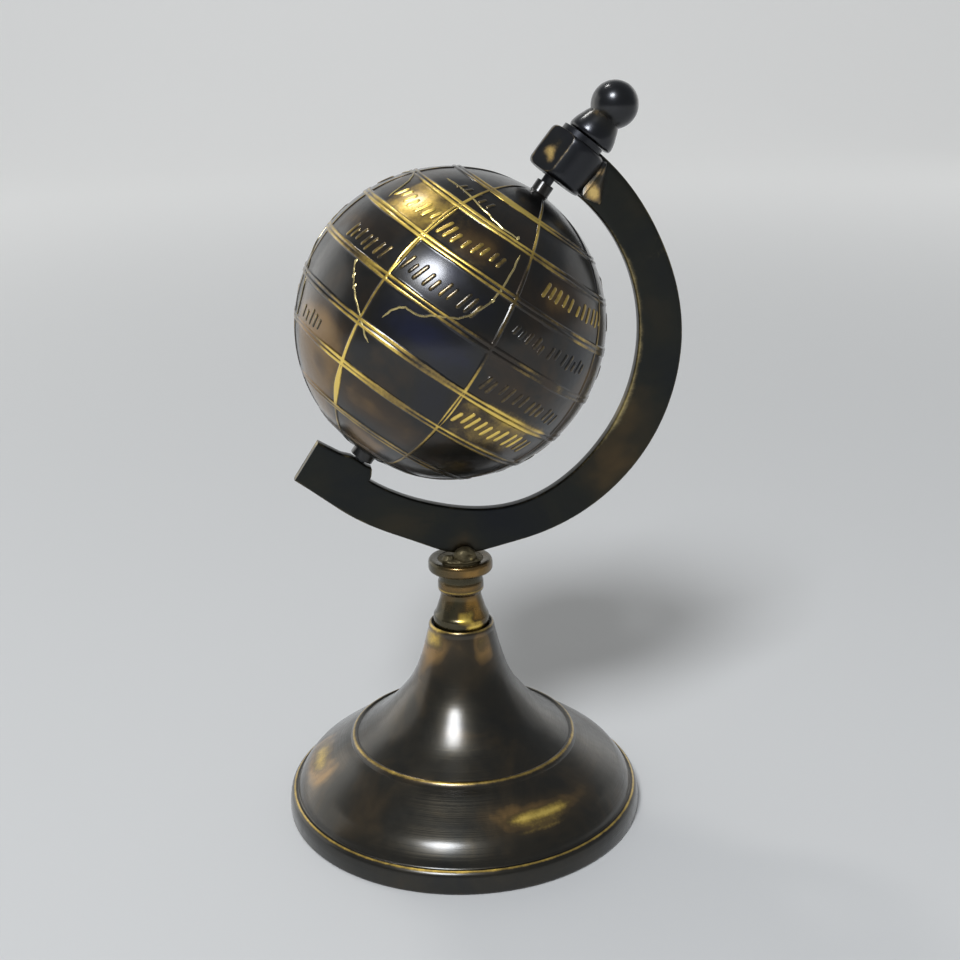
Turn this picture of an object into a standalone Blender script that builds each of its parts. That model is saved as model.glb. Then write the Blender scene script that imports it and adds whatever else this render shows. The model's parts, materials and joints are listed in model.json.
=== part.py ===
"""Brass desk globe on a turned foot.

Frame: metres, +Z up. The origin is the centre of the foot's underside, on the axis of the
turned foot. The flat arm lies in the XZ plane. The arm's own axis, through its boss and finial,
leans towards +X in it, and the axis the globe turns on leans a little less.
"""
import math

import bmesh
import bpy
from mathutils import Matrix, Vector

MM = 0.001

# Driving dimensions
GLOBE_RADIUS = 38.1 * MM
GLOBE_CENTRE = Vector((-1.3 * MM, 0.0, 131.4 * MM))
ARM_LEAN = math.radians(38.2)
SPIN_LEAN = math.radians(35.4)
GAP = 0.3 * MM

# Globe relief
PARALLELS_DEG = (-66.0, -49.0, -28.4, -11.8, 5.8, 24.2, 42.4, 58.2)
MERIDIANS_DEG = (-41.0, 3.0, 52.0, 96.0, 140.0, 184.0, 229.0, 274.0)
RIDGE_HALF_WIDTH = 0.95 * MM
RIDGE_HEIGHT = 0.3 * MM

# Hubs at the globe's poles, and the pins they turn on
SOCKET_DEPTH = 4.0 * MM
PIN_RADIUS = 1.4 * MM
PIN_FLATTENING = 0.7
SOUTH_HUB_RADIUS = 3.05 * MM
SOUTH_HUB_END = 40.3 * MM
NORTH_HUB_RADIUS = 2.3 * MM
NORTH_HUB_END = 41.0 * MM
SOUTH_PIN_ROOT = 43.6 * MM
NORTH_PIN_ROOT = 44.5 * MM

# Arm: a flat plate bent round the globe, its radii measured from the globe's centre
ARM_THICKNESS = 3.2 * MM
ARM_EDGE_ROUNDING = 0.5 * MM
ARM_STATIONS_DEG = (0, 30, 60, 90, 120, 150, 180)
ARM_OUTER = tuple(r * MM for r in (54.3, 55.8, 59.2, 61.0, 60.2, 56.6, 54.1))
ARM_INNER = tuple(r * MM for r in (43.0, 45.5, 47.8, 49.6, 50.3, 46.2, 43.6))
ARM_FIRST_DEG = -3.0
PAD_STEP_DEG = 171.0
LUG_DEG = 141.0
LUG_SPREAD_DEG = 9.5
LUG_HEIGHT = 2.3 * MM
PAD_CORNERS = tuple(Vector((c * MM, a * MM)) for c, a in
                    ((-8.4, -54.4), (-9.35, -42.9), (-3.0, -42.1), (-0.4, -41.1), (4.2, -41.0),
                     (5.6, -40.6), (6.9, -42.8)))
BOSS_RADIUS = 7.6 * MM
BOSS_OFFSET = -1.3 * MM
BOSS_BOTTOM = 42.7 * MM
BOSS_TOP = 53.6 * MM
BOSS_LAND_RADIUS = 5.6 * MM
BOSS_LAND_TOP = 55.0 * MM
BOSS_ROUNDING = 1.5 * MM
BOSS_FLAT_DISTANCE = 6.5 * MM
BOSS_FLAT_BEARING = math.radians(215.0)
WEB_CORNERS = ((6.1, 5.2, 43.4), (7.4, 3.9, 49.0), (11.0, 2.0, 45.3), (12.1, 1.2, 44.8),
               (6.4, 3.2, 53.2), (6.6, 1.2, 54.0), (1.0, 0.8, 44.0), (1.0, 0.8, 52.5))
SHANK_RADIUS = 2.7 * MM
SHANK_BOTTOM = 46.3 * MM
FINIAL_BALL_RADIUS = 5.8 * MM
FINIAL_BALL_HEIGHT = 65.4 * MM
TANG_HALF_WIDTH = 4.0 * MM
TANG_HALF_THICKNESS = 1.45 * MM
TANG_BOTTOM = 67.2 * MM
TANG_TOP = 76.0 * MM

# Room left in the solder for the tang and, above LUG_ROOM_BOTTOM, for the arm's lug
LUG_ROOM_BOTTOM = 70.9 * MM
ROOM_HALF_WIDTH = 12.0 * MM
ROOM_BOTTOM = 60.0 * MM
ROOM_TOP = 80.0 * MM

# Facets
BASE_COLUMNS = 44
SPOOL_COLUMNS = 24
FINIAL_COLUMNS = 20
PIN_COLUMNS = 12
BOSS_COLUMNS = 24
SOLDER_COLUMNS = 20
ARM_OUTER_STEPS = 36
ARM_INNER_STEPS = 26


def clear_scene():
    for obj in list(bpy.data.objects):
        bpy.data.objects.remove(obj, do_unlink=True)


def metal(name, colour, roughness):
    material = bpy.data.materials.new(name)
    material.use_nodes = True
    shader = material.node_tree.nodes["Principled BSDF"]
    shader.inputs["Base Color"].default_value = (*colour, 1.0)
    shader.inputs["Metallic"].default_value = 1.0
    shader.inputs["Roughness"].default_value = roughness
    material.diffuse_color = (*colour, 1.0)
    return material


def add_object(name, mesh_data, material=None, sharp_deg=35.0):
    mesh = bpy.data.meshes.new(name)
    bmesh.ops.recalc_face_normals(mesh_data, faces=mesh_data.faces)
    mesh_data.to_mesh(mesh)
    mesh_data.free()
    mesh.shade_smooth()
    mesh.set_sharp_from_angle(angle=math.radians(sharp_deg))
    obj = bpy.data.objects.new(name, mesh)
    bpy.context.scene.collection.objects.link(obj)
    if material:
        mesh.materials.append(material)
    return obj


def make_cutter(obj):
    obj.hide_render = True
    obj.display_type = "WIRE"
    return obj


def set_on_axis(obj, lean=ARM_LEAN):
    """Place a piece whose local +Z is a leaning axis and whose origin is the globe's centre."""
    obj.location = GLOBE_CENTRE
    obj.rotation_euler = (0.0, lean, 0.0)
    return obj


def combine(target, other, operation):
    modifier = target.modifiers.new(operation.lower() + "_" + other.name, "BOOLEAN")
    modifier.operation = operation
    modifier.object = other
    modifier.solver = "EXACT"
    make_cutter(other)


def turned(profile, columns):
    """Spin a half profile of (radius, height), which starts and ends on the axis."""
    mesh_data = bmesh.new()
    verts = [mesh_data.verts.new((radius, 0.0, height)) for radius, height in profile]
    edges = [mesh_data.edges.new(pair) for pair in zip(verts, verts[1:])]
    bmesh.ops.spin(mesh_data, geom=verts + edges, cent=(0, 0, 0), axis=(0, 0, 1),
                   angle=math.tau, steps=columns, use_merge=True)
    bmesh.ops.remove_doubles(mesh_data, verts=mesh_data.verts, dist=0.01 * MM)
    return mesh_data


def block(low, high):
    mesh_data = bmesh.new()
    centre = (Vector(low) + Vector(high)) / 2
    size = Vector(high) - Vector(low)
    matrix = Matrix.Translation(centre) @ Matrix.Diagonal((*size, 1.0))
    bmesh.ops.create_cube(mesh_data, size=1.0, matrix=matrix)
    return mesh_data


def mm_profile(*points):
    return [(radius * MM, height * MM) for radius, height in points]


def arc(centre, radius, start_deg, end_deg, steps):
    """Points of an arc in a half profile; 0 degrees points outwards and 90 degrees up."""
    angles = [math.radians(start_deg + (end_deg - start_deg) * i / steps) for i in range(steps + 1)]
    return [(centre[0] + radius * math.cos(a), centre[1] + radius * math.sin(a)) for a in angles]


def smooth_value(stations, values, where):
    """Catmull-Rom interpolation between evenly spaced stations."""
    step = stations[1] - stations[0]
    place = min(max((where - stations[0]) / step, 0.0), len(stations) - 1.001)
    index = int(place)
    t = place - index
    p1, p2 = values[index], values[index + 1]
    p0 = values[index - 1] if index else p1
    p3 = values[index + 2] if index + 2 < len(values) else p2
    return 0.5 * (2 * p1 + (p2 - p0) * t + (2 * p0 - 5 * p1 + 4 * p2 - p3) * t ** 2
                  + (3 * p1 - p0 - 3 * p2 + p3) * t ** 3)


def build_base(material):
    recess = mm_profile((0, 0), (12.0, 0), (12.0, 1.2), (43.0, 1.2), (43.0, 0))
    foot = mm_profile((46.9, 0), (47.4, 0.5), (47.35, 3.6), (46.8, 5.2), (45.9, 6.0), (45.2, 5.8))
    dome = mm_profile((43.9, 8.6), (41.9, 11.0), (39.0, 13.3), (35.8, 15.6), (32.6, 17.9),
                      (30.4, 19.3))
    bead = mm_profile((29.9, 20.2), (29.2, 20.7), (28.4, 20.5))
    bell = mm_profile((25.4, 22.6), (22.4, 24.9), (19.5, 27.8), (16.8, 31.0), (14.3, 34.4),
                      (12.4, 38.1), (11.0, 42.0), (9.9, 45.8), (9.1, 49.0))
    rim = mm_profile((8.75, 50.6), (8.6, 51.5), (8.35, 52.0), (8.0, 52.1), (7.75, 51.8), (7.75, 50.4),
                     (0, 50.4))
    return add_object("base", turned(recess + foot + dome + bead + bell + rim, BASE_COLUMNS), material)


def build_spool(material):
    foot = mm_profile((0, 50.7), (7.3, 50.7), (7.35, 52.4), (7.4, 53.5), (7.15, 54.9), (6.6, 56.1),
                      (6.05, 57.3), (5.6, 58.6))
    bead = mm_profile((5.35, 59.6), (5.3, 60.6), (5.35, 61.2))
    neck = mm_profile((5.9, 61.5), (6.0, 62.4), (5.95, 63.6), (5.78, 64.3), (5.8, 65.6), (5.9, 66.5))
    lip = mm_profile((8.15, 66.85), (8.3, 67.3), (8.4, 68.4), (8.3, 69.3), (7.9, 69.85), (7.2, 69.95),
                     (5.9, 69.7))
    cup = mm_profile((5.9, 68.2), (0, 68.2))
    spool = add_object("stem_spool", turned(foot + bead + neck + lip + cup, SPOOL_COLUMNS), material)
    slot_low = (-TANG_HALF_WIDTH - GAP, -ARM_THICKNESS / 2 - GAP, TANG_BOTTOM - GAP)
    slot_high = (TANG_HALF_WIDTH + GAP, ARM_THICKNESS / 2 + GAP, TANG_TOP)
    combine(spool, add_object("spool_slot", block(slot_low, slot_high)), "DIFFERENCE")
    return spool


def arm_edge(values, start_deg, end_deg, steps, lug_height=0.0):
    """Points (across, along) of one edge of the arm, clockwise from the north end."""
    points = []
    for i in range(steps + 1):
        degrees = start_deg + (end_deg - start_deg) * i / steps
        radius = smooth_value(ARM_STATIONS_DEG, values, degrees)
        radius += lug_height * math.exp(-((degrees - LUG_DEG) / LUG_SPREAD_DEG) ** 2)
        points.append(Vector((math.sin(math.radians(degrees)), math.cos(math.radians(degrees))))
                      * radius)
    return points


def build_plate(material):
    """The arm's flat plate, with the lug over the stem and the pad at its lower end."""
    outer = arm_edge(ARM_OUTER, ARM_FIRST_DEG, PAD_STEP_DEG + 5.0, ARM_OUTER_STEPS, LUG_HEIGHT)
    inner = arm_edge(ARM_INNER, PAD_STEP_DEG, ARM_FIRST_DEG, ARM_INNER_STEPS)
    outline = outer + list(PAD_CORNERS) + inner
    mesh_data = bmesh.new()
    verts = [mesh_data.verts.new((c, -ARM_THICKNESS / 2, a)) for c, a in outline]
    face = mesh_data.faces.new(verts)
    swept = bmesh.ops.extrude_face_region(mesh_data, geom=[face])
    moved = [item for item in swept["geom"] if isinstance(item, bmesh.types.BMVert)]
    bmesh.ops.translate(mesh_data, verts=moved, vec=(0, ARM_THICKNESS, 0))
    plate = set_on_axis(add_object("arm", mesh_data, material))
    bevel = plate.modifiers.new("edge_rounding", "BEVEL")
    bevel.width = ARM_EDGE_ROUNDING
    bevel.segments = 1
    bevel.limit_method = "ANGLE"
    bevel.angle_limit = math.radians(60)
    return plate


def build_boss():
    """The round boss that holds the finial, filed flat on its left front side."""
    half = BOSS_ROUNDING
    low = arc((BOSS_RADIUS - half, BOSS_BOTTOM + half), half, -90, 0, 3)
    high = arc((BOSS_RADIUS - half, BOSS_TOP - half), half, 0, 90, 3)
    land = [(BOSS_LAND_RADIUS, BOSS_TOP), (BOSS_LAND_RADIUS, BOSS_LAND_TOP), (0, BOSS_LAND_TOP)]
    profile = [(0, BOSS_BOTTOM)] + low + high + land
    boss = add_object("arm_boss", turned(profile, BOSS_COLUMNS))
    boss.data.transform(Matrix.Translation((BOSS_OFFSET, 0, 0)))
    set_on_axis(boss)

    reach = 2 * BOSS_RADIUS
    filed = block((BOSS_FLAT_DISTANCE, -reach, BOSS_BOTTOM - MM), (reach, reach, BOSS_LAND_TOP + MM))
    turn = Matrix.Rotation(BOSS_FLAT_BEARING, 4, "Z")
    bmesh.ops.transform(filed, matrix=Matrix.Translation((BOSS_OFFSET, 0, 0)) @ turn, verts=filed.verts)
    combine(boss, set_on_axis(add_object("boss_flat", filed)), "DIFFERENCE")
    return boss


def build_web():
    """The gusset that runs from the boss down onto both faces of the plate."""
    mesh_data = bmesh.new()
    for across, out, along in WEB_CORNERS:
        for side in (-1, 1):
            mesh_data.verts.new((across * MM, side * out * MM, along * MM))
    hull = bmesh.ops.convex_hull(mesh_data, input=mesh_data.verts)
    unused = [item for item in hull["geom_interior"] if isinstance(item, bmesh.types.BMVert)]
    bmesh.ops.delete(mesh_data, geom=unused, context="VERTS")
    return set_on_axis(add_object("arm_web", mesh_data))


def build_pin(name, side, root):
    """A pin on the spin axis, from its root in the arm to the socket; side is +1 at the north."""
    tip = GLOBE_RADIUS - SOCKET_DEPTH + GAP
    profile = [(0, tip), (PIN_RADIUS / 2, tip), (PIN_RADIUS, tip + PIN_RADIUS / 2), (PIN_RADIUS, root),
               (0, root)]
    pin = add_object(name, turned([(radius, side * height) for radius, height in profile], PIN_COLUMNS))
    pin.data.transform(Matrix.Diagonal((1.0, PIN_FLATTENING, 1.0, 1.0)))
    return set_on_axis(pin, SPIN_LEAN)


def build_arm(material):
    arm = build_plate(material)
    combine(arm, build_boss(), "UNION")
    combine(arm, build_web(), "UNION")

    top = BOSS_LAND_TOP + 2 * MM
    bottom = SHANK_BOTTOM - GAP
    shank_hole = [(0, bottom), (SHANK_RADIUS + GAP, bottom), (SHANK_RADIUS + GAP, top), (0, top)]
    combine(arm, set_on_axis(add_object("boss_hole", turned(shank_hole, PIN_COLUMNS))), "DIFFERENCE")

    combine(arm, build_pin("south_pin", -1, SOUTH_PIN_ROOT), "UNION")
    combine(arm, build_pin("north_pin", 1, NORTH_PIN_ROOT), "UNION")

    tang = add_object("arm_tang", block((-TANG_HALF_WIDTH, -TANG_HALF_THICKNESS, TANG_BOTTOM),
                                        (TANG_HALF_WIDTH, TANG_HALF_THICKNESS, TANG_TOP)))
    combine(arm, tang, "UNION")
    return arm


def solder_lump(name, centre, half_sizes):
    """A rounded lump, in millimetres."""
    mesh_data = bmesh.new()
    shape = Matrix.Translation(Vector(centre) * MM) @ Matrix.Diagonal((*half_sizes, 1.0))
    bmesh.ops.create_icosphere(mesh_data, subdivisions=2, radius=MM, matrix=shape)
    return add_object(name, mesh_data)


def build_solder(material):
    fill = mm_profile((0, 68.5), (5.6, 68.5), (5.6, 69.6), (5.2, 69.9), (0, 70.3))
    solder = add_object("solder_joint", turned(fill, SOLDER_COLUMNS), material)
    combine(solder, solder_lump("solder_dome", (0.8, -3.3, 71.6), (3.0, 2.3, 2.4)), "UNION")
    combine(solder, solder_lump("solder_bead", (-3.4, -2.7, 70.5), (1.5, 1.3, 1.5)), "UNION")
    half_depth = ARM_THICKNESS / 2 + GAP
    tang_room = block((-TANG_HALF_WIDTH - GAP, -half_depth, ROOM_BOTTOM),
                      (TANG_HALF_WIDTH + GAP, half_depth, ROOM_TOP))
    combine(solder, add_object("tang_room", tang_room), "DIFFERENCE")
    arm_room = block((-ROOM_HALF_WIDTH, -half_depth, LUG_ROOM_BOTTOM),
                     (ROOM_HALF_WIDTH, half_depth, ROOM_TOP))
    combine(solder, add_object("arm_room", arm_room), "DIFFERENCE")
    return solder


def build_finial(material):
    shank = [(0, SHANK_BOTTOM), (SHANK_RADIUS, SHANK_BOTTOM), (SHANK_RADIUS, BOSS_LAND_TOP + GAP)]
    flare = mm_profile((5.3, 55.3), (5.75, 55.5), (6.0, 56.1), (5.92, 56.9), (5.6, 58.1), (5.1, 59.4),
                       (4.6, 60.6), (4.2, 61.5))
    ball = arc((0.0, FINIAL_BALL_HEIGHT), FINIAL_BALL_RADIUS, -42.0, 90, 9)
    profile = shank + flare + ball[:-1] + [(0, ball[-1][1])]
    return set_on_axis(add_object("finial_screw", turned(profile, FINIAL_COLUMNS), material))


def globe_rings():
    """(radius, height) of every ring between the poles, with whether it is on a parallel's ridge."""
    half = math.degrees(RIDGE_HALF_WIDTH / GLOBE_RADIUS)
    marks = []
    for latitude in PARALLELS_DEG:
        marks += [(latitude - half, 0.0), (latitude, 1.0), (latitude + half, 0.0)]
    for low, high in zip(PARALLELS_DEG, PARALLELS_DEG[1:]):
        marks.append(((low + high) / 2, 0.0))
    marks += [(-79.0, 0.0), (71.0, 0.0), (80.0, 0.0)]
    return sorted(marks)


def globe_columns():
    """Longitudes of the mesh columns, with whether each is on a meridian's ridge."""
    half = math.degrees(RIDGE_HALF_WIDTH / GLOBE_RADIUS)
    columns = []
    for start, end in zip(MERIDIANS_DEG, MERIDIANS_DEG[1:] + (MERIDIANS_DEG[0] + 360.0,)):
        span = end - start - 2 * half
        columns += [(start - half, 0.0), (start, 1.0), (start + half, 0.0)]
        columns += [(start + half + span * k / 4, 0.0) for k in (1, 2, 3)]
    return columns


def hub_rings(side, hub_radius, hub_end, count):
    """Rings of a pole's hub, from the floor of its socket out to where the hub meets the ball."""
    hole = PIN_RADIUS + GAP
    root = math.sqrt(GLOBE_RADIUS ** 2 - hub_radius ** 2)
    corners = ((hole, GLOBE_RADIUS - SOCKET_DEPTH), (hole, hub_end), (hub_radius, hub_end),
               (hub_radius, root))
    return [[(radius, side * height)] * count for radius, height in corners]


def build_globe(material):
    mesh_data = bmesh.new()
    columns = globe_columns()
    rings = hub_rings(-1, SOUTH_HUB_RADIUS, SOUTH_HUB_END, len(columns))
    for latitude, on_parallel in globe_rings():
        ring = []
        for _, on_meridian in columns:
            radius = GLOBE_RADIUS + RIDGE_HEIGHT * max(on_parallel, on_meridian)
            angle = math.radians(latitude)
            ring.append((radius * math.cos(angle), radius * math.sin(angle)))
        rings.append(ring)
    rings += reversed(hub_rings(1, NORTH_HUB_RADIUS, NORTH_HUB_END, len(columns)))

    rows = []
    for ring in rings:
        row = []
        for (longitude, _), (radius, height) in zip(columns, ring):
            # Longitude 0 faces -Y and longitude 90 faces local +X
            angle = math.radians(longitude)
            row.append(mesh_data.verts.new((radius * math.sin(angle), -radius * math.cos(angle), height)))
        rows.append(row)
    count = len(columns)
    for lower, upper in zip(rows, rows[1:]):
        for i in range(count):
            j = (i + 1) % count
            mesh_data.faces.new((lower[i], lower[j], upper[j], upper[i]))
    mesh_data.faces.new(rows[0])
    mesh_data.faces.new(rows[-1])
    return add_object("globe", mesh_data, material, sharp_deg=50.0)


def main():
    clear_scene()
    turned_brass = metal("antiqued_turned_brass", (0.105, 0.068, 0.040), 0.28)
    spool_brass = metal("antiqued_spool_brass", (0.150, 0.105, 0.055), 0.30)
    arm_brass = metal("patinated_arm_brass", (0.085, 0.083, 0.064), 0.42)
    solder_brass = metal("dull_solder", (0.160, 0.150, 0.110), 0.45)
    finial_brass = metal("antiqued_finial_brass", (0.075, 0.068, 0.062), 0.25)
    globe_brass = metal("antiqued_globe_brass", (0.080, 0.062, 0.052), 0.30)

    build_base(turned_brass)
    build_spool(spool_brass)
    build_arm(arm_brass)
    build_solder(solder_brass)
    build_finial(finial_brass)

    spin_axis = bpy.data.objects.new("globe_spin_axis", None)
    bpy.context.scene.collection.objects.link(spin_axis)
    spin_axis.location = GLOBE_CENTRE
    spin_axis.rotation_euler = (0.0, SPIN_LEAN, 0.0)
    globe = build_globe(globe_brass)
    globe.parent = spin_axis


main()
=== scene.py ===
import json
import math

import bmesh
import bpy
import numpy as np
from mathutils import Matrix, Vector, noise


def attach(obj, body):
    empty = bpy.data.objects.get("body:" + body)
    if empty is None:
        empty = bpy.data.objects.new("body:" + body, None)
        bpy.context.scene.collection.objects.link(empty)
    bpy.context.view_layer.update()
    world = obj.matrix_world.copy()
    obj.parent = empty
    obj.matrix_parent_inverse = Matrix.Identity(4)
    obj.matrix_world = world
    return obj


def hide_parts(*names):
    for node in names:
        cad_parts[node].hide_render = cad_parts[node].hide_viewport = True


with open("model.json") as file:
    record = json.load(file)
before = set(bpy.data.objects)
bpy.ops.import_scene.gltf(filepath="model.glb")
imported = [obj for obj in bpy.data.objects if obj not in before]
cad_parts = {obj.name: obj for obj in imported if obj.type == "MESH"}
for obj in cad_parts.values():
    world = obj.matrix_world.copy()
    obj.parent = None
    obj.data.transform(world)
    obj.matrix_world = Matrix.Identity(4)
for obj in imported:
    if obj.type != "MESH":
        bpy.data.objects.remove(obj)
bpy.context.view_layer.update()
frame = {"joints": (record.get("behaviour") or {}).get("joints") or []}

MM = 0.001

# Frames whose rows are across, back and along. Both lean over in the XZ plane, and the arm's leans more.
SPIN = next(joint for joint in frame["joints"] if joint["name"] == "globe_spin")
CENTRE = np.array(SPIN["pos_m"]) / MM
ARM_LEAN = 38.2


def leaning_axes(along):
    return np.array(((along[2], 0.0, -along[0]), (0.0, 1.0, 0.0), along))


SPIN_AXES = leaning_axes(SPIN["axis"])
ARM_AXES = leaning_axes((math.sin(math.radians(ARM_LEAN)), 0.0, math.cos(math.radians(ARM_LEAN))))

# -------- the globe's sizes and places
# In millimetres and degrees. Longitude 0 faces the front, 90 faces across.

GLOBE_RADIUS = 38.1
SURFACE_DROP = 0.04        # the ball's skin lies this far under its full radius
SKIN_RADIUS = GLOBE_RADIUS - SURFACE_DROP
MM_PER_DEGREE = math.radians(GLOBE_RADIUS)
LATITUDE_STEP = 1.5
LONGITUDE_STEP = 2.0
HUB_GAP = 1.0
PARALLELS = (-66, -49, -28.4, -11.8, 5.8, 24.2, 42.4, 58.2)
MERIDIANS = (-41, 3, 52, 96, 140, 184, 229, 274)
MERIDIAN_SLANTS = (0, 3.4, 1, -1, 1.5, 2, -1.5, -1)
SLANT_LIMIT = 60.0         # slants grow no further beyond this latitude
SOUTH_HUB = (
    (0, -34.1), (1.7, -34.1), (1.7, -40.2), (1.8, -40.3), (2.85, -40.3), (3, -40.25), (3.05, -40.1),
    (3.05, -38.3), (3.2, -37.98),
)
NORTH_HUB = (
    (0, 34.1), (1.7, 34.1), (1.7, 40.9), (1.8, 41), (2.1, 41), (2.25, 40.95), (2.3, 40.8), (2.3, 38.4),
    (2.5, 38.03),
)

# Cast lines: how far the mesh is fine on each side of one, and the shape across it
LINE_OFFSETS = (
    -1.5, -1.25, -1.05, -0.85, -0.65, -0.48, -0.32, -0.16, 0, 0.16, 0.32, 0.48, 0.65, 0.85, 1.05, 1.25, 1.5,
)
LINE_HEIGHT = 0.25
LINE_SHOULDER = 0.42
PARALLEL_HALF_WIDTH = 0.98
PARALLEL_VARIATION = 0.22
MERIDIAN_HALF_WIDTH = 0.42
MERIDIAN_VARIATION = 0.1
MERIDIAN_END = 80.0        # meridians fade out up to this latitude
MERIDIAN_FADE = 10.0
GROOVE_WIDTH = 0.24
DEEPEST_GROOVE = 0.95
GROOVED_SWELL = 0.1        # a meridian that has swollen by more than this is grooved as well

# What varies over the ball: middle, variation, the noise's size as a part of the radius, and its seed
LINE_WIDENING = (0, 1, 0.33, 0)
GROOVE_DEPTH = (0.55, 1.3, 0.5, 9)
DENTS = (0, 0.035, 0.3, 3)
LINE_WEAR = (0.28, 0.3, 0.15, 5)
PANEL_WEAR = (0.9, 0.5, 0.09, 7)
PANEL_TONE = (0.75, 0.6, 0.22, 11)
LINE_WEAR_SHARPNESS = 1.7
PANEL_EDGE = 1.8
TONE_EDGE = 7.0

# Where handling has rubbed the ball to bright metal: latitude, longitude, reach in degrees, strength.
RUBBED = (
    (34, -53, 9, 0.3), (-16, 26, 9, 0.16), (-10, 38, 7, 0.16), (-39, -43, 6, 0.3), (20, -42, 5, 0.2),
    (28, 120, 18, 0.3), (-18, 160, 16, 0.3), (34, 205, 16, 0.25), (-25, 250, 18, 0.3), (5, 285, 14, 0.2),
    (-50, 110, 16, 0.2),
)

# Panels rubbed between their lines: latitudes, longitudes, strength.
RUBBED_PANELS = (
    (24.5, 42, -70, -41, 0.62), (24.5, 42, -41, -13, 0.27), (24.5, 42, 10, 56, 0.15),
    (-28, -12, 5, 38, 0.46), (-14.5, -8, 12, 47, 0.36), (-48, -30, -46, -38, 0.25),
    (24.5, 42, 104, 134, 0.4), (-11, 5, 146, 176, 0.3), (24.5, 42, 236, 262, 0.45),
    (-28, -12, 196, 222, 0.3),
)

# How much more the raised lines are rubbed, or less where negative, in the same terms as RUBBED.
RUBBED_LINES = (
    (24.5, -62, 20, 0.42), (24, -25, 17, 0.48), (42, -48, 20, 0.45), (42, -16, 15, 0.4), (58, -14, 15, 0.5),
    (-12.5, -37, 15, 0.66), (-12, 14, 18, 0.3), (-28, -40, 12, 0.55), (-28, 8, 22, 0.24),
    (6, -30, 18, 0.18), (-49, -22, 18, 0.22), (34, -41, 9, 0.45), (15, -40, 8, 0.4), (-19, 5, 9, 0.36),
    (24, 40, 12, 0.24), (-39, -43, 9, 0.4), (-4, -41, 7, -0.3), (-20, -41, 6, -0.12), (2, 3, 9, -0.14),
    (15, 30, 14, -0.1), (-2, 34, 14, -0.08), (30, 150, 25, 0.4), (-10, 200, 25, 0.35), (10, 250, 22, 0.4),
    (-35, 100, 20, 0.35),
)

# How much a meridian's half width grows, or shrinks where negative, in millimetres, in the same terms.
MERIDIAN_SWELLS = (
    (34, -41, 8, 0.42), (-4, -41, 9, -0.12), (16, -41, 6, 0.25), (-39, -43, 8, 0.55), (-19, 5, 8, 0.3),
    (30, 184, 12, 0.4), (-20, 229, 12, 0.4),
)

# Panels of the dark finish, bluer black where negative and warmer brown where positive: latitudes,
# longitudes, tone. The warm panels (-48, -29, -41, 4, ...) and (-68, -12, -82, -38, ...) low on the left are
# partly patina and partly a painted warm reflection.
TONE_PANELS = (
    (-11.5, 5.5, -41, 3, -1), (6, 24, -41, 3, -0.25), (-28, -12, -41, 3, -0.15), (-48, -29, -41, 4, 0.75),
    (-68, -12, -82, -38, 1.2), (24.5, 42, 8, 70, 0.85), (24.5, 42, -41, -10, 0.7), (6, 24, -90, -44, 0.45),
    (24.5, 58, -90, -62, 0.4), (-28, -12, 4, 44, 0.75), (43, 58, -40, 0, 0.45), (24.5, 42, 96, 140, 0.7),
    (-28, 5, 140, 184, -0.6), (6, 42, 184, 229, 0.6), (-28, -12, 229, 274, 0.5), (-48, 24, 44, 96, 0.5),
    (-68, -47, -40, 0, 1.1),
)

# Across a swept ridge: offset as a part of its half width, height as a part of its top, and wear.
SWEEP_SECTION = (
    (-1, -0.25, 0.05), (-0.75, 0.55, 0.36), (-0.3, 1, 0.5), (0.3, 1, 0.5), (0.75, 0.55, 0.36),
    (1, -0.25, 0.05), (0, -0.9, 0),
)
TOP_WEAR = 0.2             # points with more wear than this are a ridge's top, which handling reaches
LEAST_TAPER = 0.05

# Coast lines: runs of (latitude, longitude).
COASTS = (
    ((5.5, -55.7), (2.6, -55.0), (-1.6, -51.5), (-5.1, -47.9), (-10.3, -41.5), (-16.2, -34.0)),
    ((-6.2, -33.9), (-2.5, -32.5), (1.2, -29.2), (1.5, -24.3), (4.9, -18.7), (7.8, -13.3), (10.6, -10.2),
     (18.0, -6.3), (27.0, -4.8), (39.4, -5.2)),
    ((49.1, -64.8), (48.9, -49.2), (46.9, -32.2), (44.9, -20.0), (44.6, -8.9)),
    ((52, 70), (47, 84), (39, 96), (33, 110), (25, 118), (14, 112), (3, 104), (-8, 108), (-18, 118)),
    ((-22, 66), (-30, 74), (-38, 88), (-41, 104), (-36, 118), (-27, 124)),
    ((31, 149), (37, 160), (32, 170), (36, 181), (25, 186), (17, 179), (9, 174), (3, 162), (12, 156),
     (17, 145), (31, 149)),
    ((-14, 150), (-22, 158), (-34, 160), (-44, 170), (-52, 184)),
    ((48, 205), (41, 214), (30, 219), (20, 228), (8, 231), (-3, 240), (-14, 241), (-26, 252)),
    ((16, 252), (8, 262), (-2, 266), (-9, 276), (-20, 281), (-31, 277)),
    ((38, 262), (42, 274), (37, 286), (28, 290)),
)
COAST_PER_SPAN = 9
COAST_HALF_WIDTH = 0.30
COAST_VARIATION = 0.08
COAST_SHAPE = (0.24, 1.5)              # height and taper
COAST_WOBBLE = 0.35
COAST_RUBBING = 0.6
COAST_BEADS = ((3.6, -55.4), (-0.6, -52.4), (-3.4, -49.6), (23.8, -5.0), (45.0, -9.6), (19.8, -5.6))
BEAD_RUN = np.linspace(1.0, -1.0, 7)
BEAD_SHAPE = (0.55, 0.28, 0.8)         # half width, height and taper
BEAD_WEAR = 1.9            # times a ridge's wear

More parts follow.
